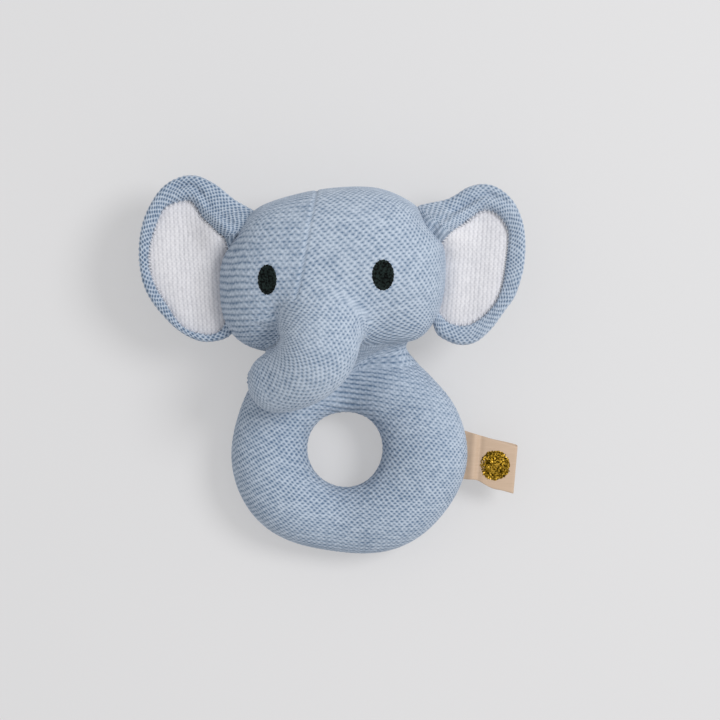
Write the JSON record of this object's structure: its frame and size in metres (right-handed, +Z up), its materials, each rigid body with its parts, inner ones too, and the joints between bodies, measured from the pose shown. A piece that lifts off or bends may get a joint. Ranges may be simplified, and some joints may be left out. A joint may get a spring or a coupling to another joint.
{
  "type": "stuffed elephant ring rattle",
  "caption": "Knitted elephant head with rattle case, stuffed trunk and ears, sewn on a stuffed grip ring with a satin label.",
  "frame": {"origin": "centre of the finger hole, on the surface that the toy lies on", "axes": "+Z up out of the face as the toy lies on its back, +Y towards the crown, +X to the right as it is looked at"},
  "size_m": [0.143, 0.14, 0.062],
  "materials": {
    "blue_knit": "matte",
    "white_knit": "matte",
    "blue_thread": "matte",
    "white_thread": "matte",
    "fibre_filling": "matte",
    "eye_thread": "satin",
    "satin_ribbon": "satin",
    "gold_glitter": "satin",
    "case_plastic": "gloss",
    "bead_plastic": "gloss"
  },
  "bodies": {
    "ring": {"ring_front_panel": "blue_knit", "ring_back_panel": "blue_knit", "ring_filling": "fibre_filling", "ring_seam_thread": "blue_thread", "neck_stitching": "blue_thread"},
    "head": {"head_left_panel": "blue_knit", "head_right_panel": "blue_knit", "head_seam_thread": "blue_thread", "head_left_filling": "fibre_filling", "head_right_filling": "fibre_filling", "rattle_case_base": "case_plastic", "rattle_case_cap": "case_plastic", "left_eye": "eye_thread", "right_eye": "eye_thread"},
    "trunk": {"trunk_cover": "blue_knit", "trunk_filling": "fibre_filling", "trunk_closing_stitch": "blue_thread"},
    "left_ear": {"left_ear_back": "blue_knit", "left_ear_lining": "white_knit", "left_ear_padding": "fibre_filling", "left_ear_seam": "white_thread"},
    "right_ear": {"right_ear_back": "blue_knit", "right_ear_lining": "white_knit", "right_ear_padding": "fibre_filling", "right_ear_seam": "white_thread"},
    "label": {"label_ribbon": "satin_ribbon", "label_spot": "gold_glitter"},
    "bead_1": {"rattle_bead_1": "bead_plastic"},
    "bead_2": {"rattle_bead_2": "bead_plastic"},
    "bead_3": {"rattle_bead_3": "bead_plastic"},
    "bead_4": {"rattle_bead_4": "bead_plastic"}
  },
  "joints": [
    {"name": "neck_nod", "type": "hinge", "parent": "ring", "child": "head", "pos_m": [-0.0093, 0.0371, 0.0142], "axis": [1, 0, 0], "range_deg": [-18, 8], "stiffness_Nm_per_rad": 0.08},
    {"name": "trunk_lift", "type": "hinge", "parent": "head", "child": "trunk", "pos_m": [-0.009, 0.0559, 0.0546], "axis": [-1, 0, 0], "range_deg": [0, 35], "stiffness_Nm_per_rad": 0.03},
    {"name": "left_ear_flap", "type": "hinge", "parent": "head", "child": "left_ear", "pos_m": [-0.0511, 0.0681, 0.0262], "axis": [0, 1, 0], "range_deg": [-35, 50], "stiffness_Nm_per_rad": 0.02},
    {"name": "right_ear_flap", "type": "hinge", "parent": "head", "child": "right_ear", "pos_m": [0.0415, 0.0681, 0.0262], "axis": [0, -1, 0], "range_deg": [-35, 50], "stiffness_Nm_per_rad": 0.02},
    {"name": "label_flap", "type": "hinge", "parent": "ring", "child": "label", "pos_m": [0.04397, -0.00536, 0.01261], "axis": [-0.1219, -0.9925, 0], "range_deg": [-30, 50], "stiffness_Nm_per_rad": 0.001},
    {"name": "bead_1_rattle", "type": "slide", "parent": "head", "child": "bead_1", "axis": [0, 0, 1], "range_m": [0, 0.01385]},
    {"name": "bead_2_rattle", "type": "slide", "parent": "head", "child": "bead_2", "axis": [0, 0, 1], "range_m": [0, 0.01385]},
    {"name": "bead_3_rattle", "type": "slide", "parent": "head", "child": "bead_3", "axis": [0, 0, 1], "range_m": [0, 0.01385]},
    {"name": "bead_4_rattle", "type": "slide", "parent": "head", "child": "bead_4", "axis": [0, 0, 1], "range_m": [0, 0.01385]}
  ]
}
